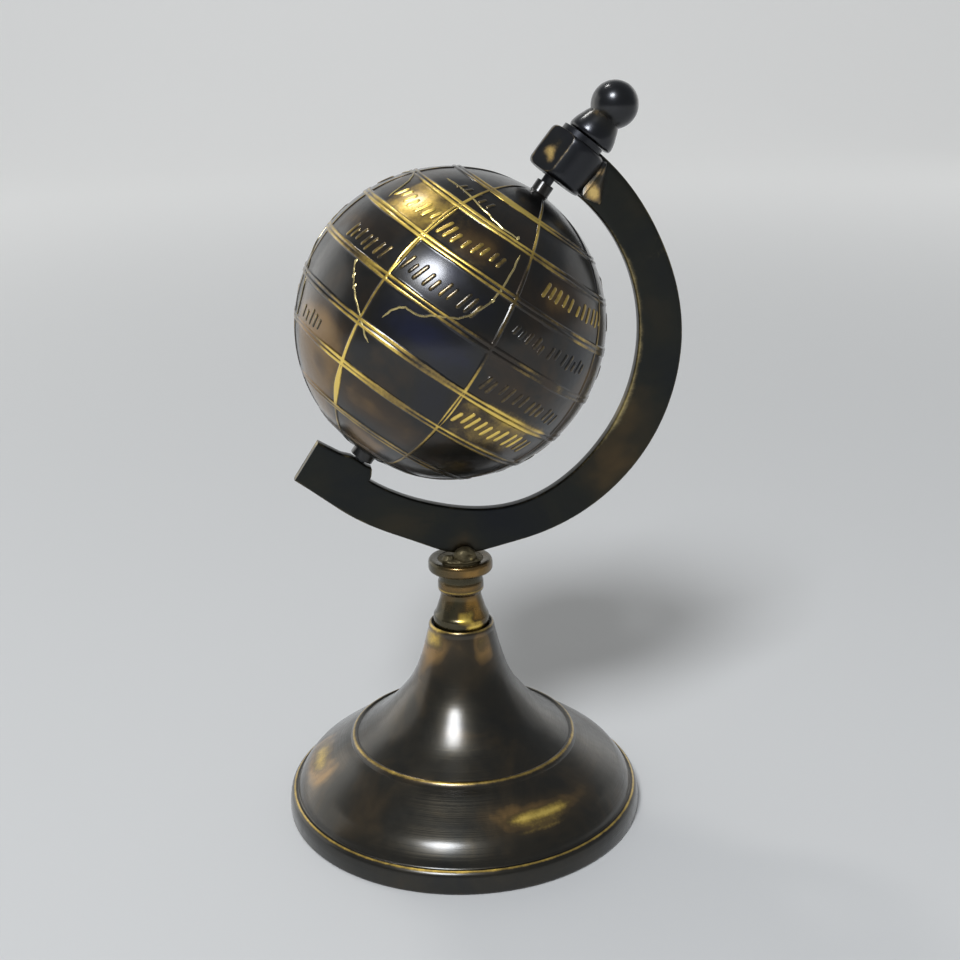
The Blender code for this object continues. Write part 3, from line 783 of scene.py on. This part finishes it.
def sweep_on_globe(route, half_width, top, taper):
    """A low rounded ridge along a route of (latitude, longitude); gives points, faces and wear."""
    centre = globe_direction(*np.array(route).T)
    side = unit(np.cross(np.gradient(centre, axis=0), centre))
    step = np.linalg.norm(np.diff(centre, axis=0), axis=1) * GLOBE_RADIUS
    travelled = np.concatenate(((0,), np.cumsum(step)))
    from_end = np.minimum(travelled, travelled[-1] - travelled)
    swell = np.sqrt(np.clip(from_end / taper, LEAST_TAPER, 1))
    rings = []
    for spot, across, size in zip(centre, side, swell):
        rings.append([spot * (SKIN_RADIUS + lift * top * (size if lift > 0 else 1.0))
                      + across * offset * half_width * size for offset, lift, _ in SWEEP_SECTION])
    rows = numbered(rings)
    faces = lofted(rows) + [tuple(rows[0][::-1]), tuple(rows[-1])]
    return np.vstack(rings), faces, np.array([rub for _, _, rub in SWEEP_SECTION] * len(rings))


def gather(parts):
    """Joins (points, faces, wear) parts."""
    points, faces, wear = zip(*parts)
    starts = [numbers[0] for numbers in numbered(points)]
    faces = [tuple(i + start for i in face) for part, start in zip(faces, starts) for face in part]
    return np.vstack(points), faces, np.concatenate(wear)


def build_coasts(material):
    """Thin uneven cast ridges for the outlines of the lands, with a few raised beads on them."""
    parts = []
    for index, coast in enumerate(COASTS):
        route = spline(coast, COAST_PER_SPAN)
        for i, point in enumerate(route):
            wobble = noise.noise_vector(Vector((i * 0.45, index * 7.3, 0.0)))
            point += np.array((wobble.x, wobble.y)) * COAST_WOBBLE
        half_width = COAST_HALF_WIDTH + COAST_VARIATION * noise.noise(Vector((index * 3.7, 0.2, 0)))
        parts.append(sweep_on_globe(route, half_width, *COAST_SHAPE))
    for latitude, longitude in COAST_BEADS:
        route = [(latitude + step, longitude) for step in BEAD_RUN]
        points, faces, wear = sweep_on_globe(route, *BEAD_SHAPE)
        parts.append((points, faces, wear * BEAD_WEAR))
    points, faces, wear = gather(parts)
    directions = unit(points)
    rubbed = spread(directions, RUBBED) + spread(directions, RUBBED_LINES)
    wear = wear + rubbed * COAST_RUBBING * (wear > TOP_WEAR)
    return make_piece("globe_coasts", on_axis(points, SPIN_AXES), faces, material, wear)


def stroke_group(random, latitude, longitude, height):
    """Routes of two or three slanted strokes beside each other, and the longitude that follows them."""
    shrink = math.cos(math.radians(latitude))
    tall = height / MM_PER_DEGREE
    routes = []
    for _ in range(random.integers(*STROKES_IN_GROUP, endpoint=True)):
        length = tall * random.uniform(*STROKE_LENGTHS)
        rise = -tall / 2 + random.uniform(0, tall - length) + STROKE_RUN * length
        routes.append(stacked(latitude + rise, longitude + rise * STROKE_SLANT / shrink))
        longitude += random.uniform(*STROKE_SPACING) / MM_PER_DEGREE / shrink
    return routes, longitude


def build_strokes(material):
    """Rows of raised strokes that stand where a globe has its place names; they spell nothing."""
    random = np.random.default_rng(STROKE_SEED)
    parts = []
    for latitude, start, stop, height, rubbed in STROKE_ROWS:
        shrink = math.cos(math.radians(latitude))
        place = start
        while place < stop:
            wander = ROW_WANDER * math.sin(math.radians(place))
            routes, place = stroke_group(random, latitude + wander, place, height)
            for route in routes:
                half_width = random.uniform(*STROKE_HALF_WIDTHS)
                points, faces, wear = sweep_on_globe(route, half_width, *STROKE_SHAPE)
                parts.append((points, faces, wear + rubbed * (wear > TOP_WEAR)))
            place += random.uniform(*GROUP_SPACING) / MM_PER_DEGREE / shrink
    points, faces, wear = gather(parts)
    directions = unit(points)
    rubbed = spread(directions, RUBBED) + fill_panels(directions, RUBBED_PANELS, PANEL_EDGE)
    wear = wear - STROKE_DULLING + rubbed * STROKE_RUBBING * (wear > TOP_WEAR)
    return make_piece("globe_strokes", on_axis(points, SPIN_AXES), faces, material, wear)


# -------- stand

def marked(points, degrees, height, seed):
    """Uneven strength, round about 1, of marks that are so many degrees wide and so high."""
    return varied(stacked(bearings(points) / degrees, points[:, 2] / height, 0.0), 1, 0.5, 1, seed)


def build_base(material):
    points, faces = turned(joined_runs(BASE_RUNS), BASE_COLUMNS, BASE_WAVINESS)
    brushed = marked(points, *BRUSH_MARKS)
    scratched = marked(points, *SCRATCH_MARKS)
    wear = near_rings(points, BASE_RINGS) + near_streaks(points, BASE_STREAKS)
    wear += near_streaks(points, BASE_BRUSHED) * brushed + near_streaks(points, BASE_SCRATCHED) * scratched
    tone = BASE_TONE + FOOT_TONE * np.clip((FOOT_TOP - points[:, 2]) / FOOT_FADE, 0, 1)
    tone += near_streaks(points, BASE_BRUSHED_WARMTH) * brushed + near_streaks(points, BASE_WARMTH)
    return make_piece("base_turned", points, faces, material, wear, tone)


def build_spool(material):
    points, faces = turned(joined_runs(SPOOL_RUNS), SPOOL_COLUMNS, WAVINESS)
    # Wear, and a painted highlight line round the neck's ridge.
    wear = near_rings(points, SPOOL_WEAR_AND_SHEEN_RINGS) + near_streaks(points, SPOOL_STREAKS)
    tone = near_streaks(points, SPOOL_WARMTH)
    # Painted shade in the throat under the lip.
    tone += THROAT_PAINTED_SHADE * falloff(points[:, 2] - THROAT_HEIGHT, THROAT_REACH)
    return make_piece("spool_turned", points, faces, material, wear, tone)


def build_finial(material):
    profile = joined_runs(FINIAL_RUNS)
    neck = math.asin(profile[-1][0] / BALL_RADIUS)
    turn = np.linspace(math.pi - neck, 0, HALF_TURN_POINTS)[1:]
    ball = stacked(BALL_RADIUS * np.sin(turn), BALL_HEIGHT + BALL_RADIUS * np.cos(turn))
    points, faces = turned(np.vstack((profile, ball)), FINIAL_COLUMNS, WAVINESS)
    wear = near_rings(points, FINIAL_RINGS) + near(points, FINIAL_SPOTS)
    tone = FINIAL_TONE + near_rings(points, FINIAL_WARMTH)
    return make_piece("finial_turned", on_axis(points, ARM_AXES), faces, material, wear, tone)


def arm_edge(values, stop, lug_height=0.0):
    """Points (across, along) of one long edge of the arm, clockwise from its top end."""
    turn = np.linspace(ARM_FIRST, stop, ARM_ROWS)
    radius = np.interp(turn, *spline(stacked(ARM_STATIONS, values), ARM_PER_SPAN).T)
    radius = radius + lug_height * falloff(turn - LUG_DEG, LUG_SPREAD)
    return stacked(radius * np.sin(np.radians(turn)), radius * np.cos(np.radians(turn)))


def with_pad(edge, pad):
    """The same edge, carried on along the pad by evenly spread points."""
    line = np.vstack((edge[-1:], pad))
    length = np.concatenate(((0,), np.cumsum(np.linalg.norm(np.diff(line, axis=0), axis=1))))
    where = np.linspace(0, length[-1], PAD_ROWS)
    spaced = stacked(*(np.interp(where, length, side) for side in line.T))
    return np.vstack((edge, spaced[1:]))


def plate_section(width, thickness, rounding):
    """Closed section (from the outer edge, back) of a plate, with rounded corners and points between."""
    turn = np.linspace(0, math.pi / 2, CORNER_POINTS)
    corner = rounding - rounding * stacked(np.cos(turn), np.sin(turn))
    flat = stacked(np.linspace(rounding, width - rounding, FLAT_POINTS)[1:-1], 0.0)
    front = np.vstack((corner, flat, corner[::-1] * (-1, 1) + (width, 0))) - (0, thickness / 2)
    return np.vstack((front, front[::-1] * (1, -1)))


def arm_row(first, last, thickness, rounding):
    """Points and wear of the arm's section from a point (across, along) of its outer edge to its inner; the
    inner edge's wear is partly a painted highlight.
    """
    width = np.linalg.norm(last - first)
    from_outer, back = plate_section(width, thickness, rounding).T
    across, along = (first + from_outer[:, None] * (last - first) / width).T
    # Partly rubbed and partly a painted highlight along this stretch of the inner edge.
    rubbed = falloff(math.degrees(math.atan2(*first)) - WORN_AND_SHEEN_EDGE_DEG, WORN_AND_SHEEN_EDGE_SPREAD, 4)
    inner_wear_and_sheen = INNER_EDGE_WEAR_AND_SHEEN + EXTRA_EDGE_WEAR_AND_SHEEN * rubbed
    reach, strength = np.where(from_outer[:, None] > width / 2, inner_wear_and_sheen, OUTER_EDGE_WEAR).T
    from_edge = np.minimum(from_outer, width - from_outer)
    from_face = thickness / 2 - np.abs(back)
    wear = strength * np.maximum(0, 1 - from_edge / reach) * np.maximum(0, 1 - from_face / EDGE_WEAR_DEPTH)
    return stacked(across, back, along), wear


def pad_end(outer, inner):
    """Rows that draw in over the flat end of the pad."""
    along_end = (outer[-1] - outer[-2]) / np.linalg.norm(outer[-1] - outer[-2])
    across_end = (inner[-1] - outer[-1]) / np.linalg.norm(inner[-1] - outer[-1])
    rows = []
    for turn in np.linspace(0, math.pi / 2, CORNER_POINTS)[1:]:
        inset = ARM_ROUNDING * (1 - math.cos(turn))
        step = along_end * PAD_END_STEP * turn
        rounding = max(ARM_ROUNDING - inset, LEAST_ROUNDING)
        rows.append(arm_row(outer[-1] + across_end * inset + step, inner[-1] - across_end * inset + step,
                            ARM_THICKNESS - 2 * inset, rounding))
    return rows


def build_arm(material):
    """The flat curved arm, lofted across from its outer to its inner edge, with its pad."""
    outer = with_pad(arm_edge(ARM_OUTER, PAD_STEP, LUG_HEIGHT), PAD_OUTER)
    inner = with_pad(arm_edge(ARM_INNER, ARM_STEP), PAD_INNER)
    sections = [arm_row(first, last, ARM_THICKNESS, ARM_ROUNDING) for first, last in zip(outer, inner)]
    rings, wear = zip(*sections, *pad_end(outer, inner))
    rows = numbered(rings)
    faces = lofted(rows) + [tuple(rows[0]), tuple(rows[-1][::-1])]
    points = np.vstack(rings)
    wear = np.concatenate(wear) + near(points, ARM_SPOTS)
    tone = near(points, ARM_WARMTH) + ARM_TONE
    return make_piece("arm_plate", on_axis(points, ARM_AXES), faces, material, wear, tone, 40.0)


def build_boss(material):
    """The round boss under the finial, filed flat on its left front side."""
    points, faces = turned(joined_runs(BOSS_RUNS), BOSS_COLUMNS, WAVINESS)
    bearing = math.radians(BOSS_FLAT_BEARING)
    outward = np.array((math.cos(bearing), math.sin(bearing), 0.0))
    out = points @ outward - BOSS_FLAT_DISTANCE
    points = points - np.maximum(out, 0)[:, None] * outward
    points[:, 0] += BOSS_OFFSET
    # The flat's rim: partly wear, partly a painted highlight.
    wear = near(points, BOSS_SPOTS) + FLAT_RIM_WEAR_AND_SHEEN * falloff(out, FLAT_RIM_REACH)
    tone = near(points, BOSS_WARMTH) + BOSS_TONE
    return make_piece("arm_boss", on_axis(points, ARM_AXES), faces, material, wear, tone, 25.0)


def build_web(material):
    """The gusset between the boss and both faces of the plate, worn bright on its lower facet."""
    shape = bmesh.new()
    for across, out, along in WEB_CORNERS:
        for side in (-1, 1):
            shape.verts.new((across, side * out, along))
    bmesh.ops.convex_hull(shape, input=shape.verts)
    bmesh.ops.delete(shape, geom=[vert for vert in shape.verts if not vert.link_faces], context="VERTS")
    bmesh.ops.bevel(shape, geom=list(shape.edges), offset=WEB_BEVEL, segments=2, affect="EDGES", profile=0.5)
    bmesh.ops.triangulate(shape, faces=shape.faces)
    bmesh.ops.subdivide_edges(shape, edges=list(shape.edges), cuts=3, use_grid_fill=True)
    shape.verts.index_update()
    points = np.array([vert.co[:] for vert in shape.verts])
    faces = [tuple(vert.index for vert in face.verts) for face in shape.faces]
    shape.free()
    return make_piece("arm_web", on_axis(points, ARM_AXES), faces, material, near(points, WEB_SPOTS),
                      near(points, WEB_WARMTH), 25.0)


def build_pin(name, side, material):
    """A pin that carries the globe; side is +1 at the north pole and -1 at the south."""
    points, faces = turned(joined_runs(PIN_RUNS, PIN_PER_SPAN), PIN_COLUMNS)
    points[:, 1] *= PIN_FLATTENING
    if side < 0:
        points[:, 2] *= -1
        faces = [face[::-1] for face in faces]
    return make_piece(name, on_axis(points, SPIN_AXES), faces, material, PIN_WEAR)


def build_solder(material):
    """Solder that filled the spool's cup and ran up in lumps at the front of the arm."""
    points, faces = turned(joined_runs(SOLDER_RUNS), SOLDER_COLUMNS)
    parts = [(points, faces, np.zeros(len(points)))]
    turn = np.linspace(-math.pi / 2, math.pi / 2, HALF_TURN_POINTS)
    lump, faces = turned(stacked(np.cos(turn), np.sin(turn)), LUMP_COLUMNS)
    for centre, half_sizes in SOLDER_LUMPS:
        parts.append((lump * half_sizes + centre, faces, [LUMP_WEAR] * len(lump)))
    points, faces, wear = gather(parts)
    above = np.clip((points[:, 2] - CRUMPLE_START) / CRUMPLE_FADE, 0, 1)
    for i, point in enumerate(points):
        crumple = Vector((0, 0, 0))
        for scale, depth in CRUMPLES:
            crumple += noise.noise_vector(Vector(point) * scale) * depth
        points[i] += np.array(crumple) * above[i]
    for x, z, reach in SOLDER_PITS:
        away = np.hypot(points[:, 0] - x, points[:, 2] - z)
        points[:, 1] += PIT_DEPTH * falloff(away, reach) * (points[:, 1] < PITTED_FRONT)
    return make_piece("solder", points, faces, material, wear + near(points, SOLDER_SPOTS), 0.0, 60.0)


# -------- room

FLOOR_COLOUR = (0.62, 0.62, 0.61, 1.0)
FLOOR_ROUGHNESS = 0.8
FAR_GLOW = 0.5             # the far floor and backdrop get this much light of their own
GLOW_RANGE = (0.15, 1.6)


def floor_material():
    """A matt pale floor that glows a little far from the object, so that it fades into the backdrop."""
    material, tree, shader = add_material("pale_floor")
    place = add_node(tree, "ShaderNodeTexCoord").outputs["Object"]
    away = add_node(tree, "ShaderNodeVectorMath", {0: place}, operation="LENGTH").outputs["Value"]
    glow = add_range(tree, away, GLOW_RANGE, (0.0, FAR_GLOW), interpolation_type="SMOOTHSTEP")
    set_inputs(tree, shader, {"Base Color": FLOOR_COLOUR, "Roughness": FLOOR_ROUGHNESS,
                              "Emission Color": FLOOR_COLOUR, "Emission Strength": glow})
    return material


def build_room():
    """A pale floor that curves up into a pale backdrop."""
    reach, behind, bend, rise = 3.0, 1.6, 0.8, 2.2
    profile = [(-reach, 0.0), (behind, 0.0)]
    for turn in np.linspace(0, math.pi / 2, 17)[1:]:
        profile.append((behind + bend * math.sin(turn), bend - bend * math.cos(turn)))
    profile.append((behind + bend, rise))
    points = np.array([(x, y, z) for y, z in profile for x in (-reach, reach)])
    faces = [(2 * i, 2 * i + 1, 2 * i + 3, 2 * i + 2) for i in range(len(profile) - 1)]
    floor = make_piece("floor", points / MM, faces, floor_material())


# -------- camera and light

CAMERA_TURN = 8.0          # the camera stands this far round from the plane of the arm
CAMERA_BACK = 338.9 * MM
CAMERA_HEIGHT = 203.6 * MM
CAMERA_PITCH = 18.4
CAMERA_PAN = 0.91
CAMERA_ROLL = -0.76
LENS = 52.5
SENSOR_WIDTH = 36
CLIP_START = 0.01

WORLD_COLOUR = (0.79, 0.83, 0.88, 1)
WORLD_STRENGTH = 0.27
PANEL_COLOUR = (1.0, 0.98, 0.93)
# Round lights aimed at the globe: direction in the camera's axes, distance, size, power, colour
ROUND_LIGHTS = (("key", (-0.22, 0.50, 0.83), 1.9, (0.60, 0.56), 32.0, (0.92, 0.95, 1.0)),
                ("top", (-0.28, 0.955, -0.09), 0.9, (0.12, 0.12), 1.0, (1.0, 0.98, 0.95)))
# Large upright panels that face the object, seen only in its glancing reflections: place, size, power
PANELS = (("left_panel", (-1.25, 0.80, 0.50), (1.4, 1.0), 3.6),
          ("right_panel", (1.45, 0.95, 0.42), (1.3, 0.8), 1.1))


def camera_rotation():
    """A matrix whose columns are the camera's right, up and backward unit vectors."""
    rotation = Matrix.Identity(3)
    for degrees, axis in ((-CAMERA_TURN - CAMERA_PAN, "Z"), (90 - CAMERA_PITCH, "X"), (CAMERA_ROLL, "Z")):
        rotation = rotation @ Matrix.Rotation(math.radians(degrees), 3, axis)
    return rotation


def build_camera():
    data = bpy.data.cameras.new("camera")
    data.lens = LENS
    data.sensor_width = SENSOR_WIDTH
    data.clip_start = CLIP_START
    camera = add_object("camera", data)
    turn = math.radians(CAMERA_TURN)
    place = Vector((-CAMERA_BACK * math.sin(turn), -CAMERA_BACK * math.cos(turn), CAMERA_HEIGHT))
    camera.matrix_world = camera_rotation().to_4x4()
    camera.matrix_world.translation = place
    bpy.context.scene.camera = camera


def add_area_light(name, shape, place, outward, size, power, colour):
    """A soft light at a place, shining against its outward direction."""
    data = bpy.data.lights.new(name, "AREA")
    data.shape = shape
    data.size, data.size_y = size
    data.energy = power
    data.color = colour
    light = add_object(name, data)
    light.location = place
    light.rotation_euler = outward.to_track_quat("Z", "Y").to_euler()


def build_lights():
    world = bpy.data.worlds.new("studio")
    world.use_nodes = True
    background = world.node_tree.nodes["Background"]
    set_inputs(world.node_tree, background, {"Color": WORLD_COLOUR, "Strength": WORLD_STRENGTH})
    bpy.context.scene.world = world
    for name, direction, distance, size, power, colour in ROUND_LIGHTS:
        towards = (camera_rotation() @ Vector(direction)).normalized()
        place = Vector(CENTRE * MM) + towards * distance
        add_area_light(name, "ELLIPSE", place, towards, size, power, colour)
    for name, place, size, power in PANELS:
        outward = Vector((place[0], place[1], 0.0)).normalized()
        add_area_light(name, "RECTANGLE", place, outward, size, power, PANEL_COLOUR)
    bpy.context.scene.view_settings.view_transform = "Standard"


# -------- assembly

globe_brass = brass("globe_brass", BLACK_BROWN, GOLD, roughness=(0.30, 0.40), coat=0.85, coat_roughness=0.20)
globe_pale = brass("globe_pale", BLACK_BROWN, PALE_GOLD, roughness=(0.24, 0.32), coat=0.6)
base_brass = brass("base_brass", BASE_TONES, GOLD, roughness=(0.30, 0.42), coat=0.95, coat_roughness=0.22,
                   mottling=0.6, clouding=0.95, dents=0.09, turned_marks=0.6)
spool_brass = brass("spool_brass", SPOOL_TONES, GOLD, roughness=(0.24, 0.32), coat=0.45, coat_roughness=0.14,
                    clouding=0.9, dents=0.05, turned_marks=0.14)
arm_brass = brass("arm_brass", ARM_TONES, PALE_GOLD, roughness=(0.34, 0.46), coat=0.35, coat_roughness=0.3,
                  clouding=0.9)
boss_brass = brass("boss_brass", BOSS_TONES, TAN_GOLD, roughness=(0.32, 0.42), coat=0.6, coat_roughness=0.28,
                   mottling=0.7, dents=0.08)
finial_brass = brass("finial_brass", BOSS_TONES, TAN_GOLD, roughness=(0.28, 0.36), coat=0.8,
                     coat_roughness=0.22, dents=0.05)
solder_metal = brass("solder", SOLDER_TONES, PALE_GOLD, roughness=(0.48, 0.62), coat=0.0, grain=0.4)

noise.seed_set(NOISE_SEED)
PIECES = (
    (build_globe(globe_brass), "globe", "globe_brass", "globe"),
    (build_coasts(globe_pale), "globe", "globe_brass", None),
    (build_strokes(globe_brass), "globe", "globe_brass", None),
    (build_base(base_brass), "stand", "base_brass", "base"),
    (build_spool(spool_brass), "stand", "spool_brass", "stem_spool"),
    (build_arm(arm_brass), "stand", "arm_brass", "arm"),
    (build_boss(boss_brass), "stand", "arm_brass", None),
    (build_web(boss_brass), "stand", "arm_brass", None),
    (build_pin("south_pin", -1, boss_brass), "stand", "arm_brass", None),
    (build_pin("north_pin", 1, boss_brass), "stand", "arm_brass", None),
    (build_solder(solder_metal), "stand", "solder", "solder_joint"),
    (build_finial(finial_brass), "stand", "finial_brass", "finial_screw"),
)
for piece, body, slot, node in PIECES:
    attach(piece, body)
    if node:
        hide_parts(node)

build_room()
build_camera()
build_lights()
